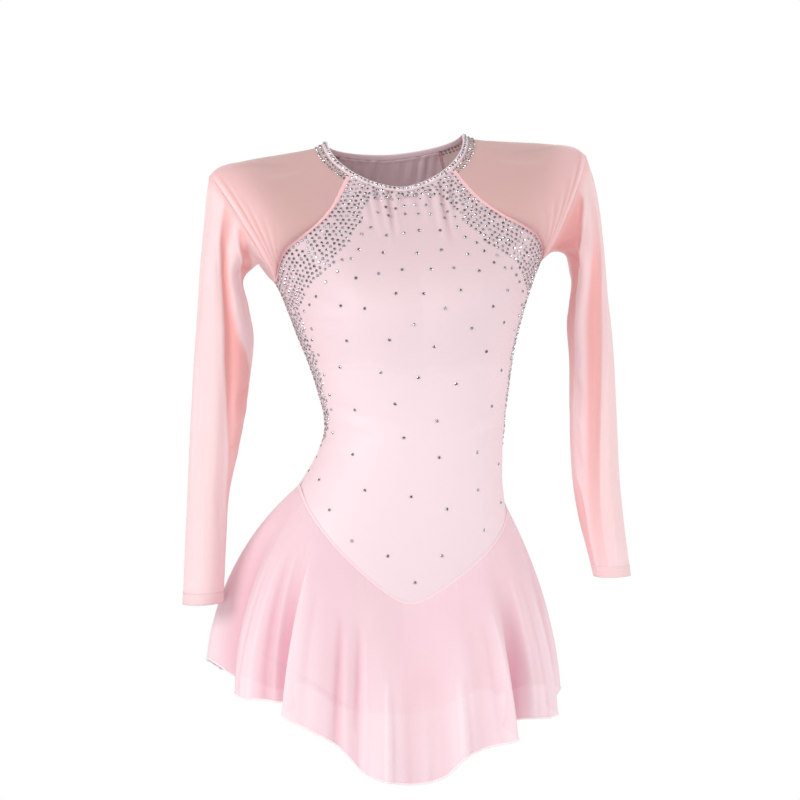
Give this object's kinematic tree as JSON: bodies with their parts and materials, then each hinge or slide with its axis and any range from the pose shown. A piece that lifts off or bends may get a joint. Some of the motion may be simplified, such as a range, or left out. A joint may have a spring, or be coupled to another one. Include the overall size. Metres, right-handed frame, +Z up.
{
  "type": "figure skating dress",
  "caption": "Long-sleeved figure skating dress: stretch bodice and briefs, raglan mesh sleeves, pointed waist seam and a sheer circular skirt, in its worn form.",
  "frame": {"origin": "the middle of the neck opening, level with the sides of the neck, where the wearer's shoulders carry the dress", "axes": "+Z up the body, the front facing -Y, the wearer's left towards +X"},
  "size_m": [0.5155, 0.374, 0.7183],
  "materials": {
    "bodice_jersey": "pale pink stretch jersey with a soft satin sheen",
    "sleeve_mesh": "sheer salmon pink stretch mesh, matt",
    "skirt_mesh": "sheer pink stretch mesh, matt, with a rolled hem",
    "briefs_jersey": "pink stretch jersey with a soft satin sheen"
  },
  "bodies": {
    "root": {"neck_band": "bodice_jersey", "bodice_front": "bodice_jersey", "bodice_back": "bodice_jersey", "sleeve_right": "sleeve_mesh", "sleeve_left": "sleeve_mesh", "skirt_front": "skirt_mesh", "skirt_back": "skirt_mesh", "briefs_front": "briefs_jersey", "briefs_back": "briefs_jersey"}
  },
  "joints": []
}
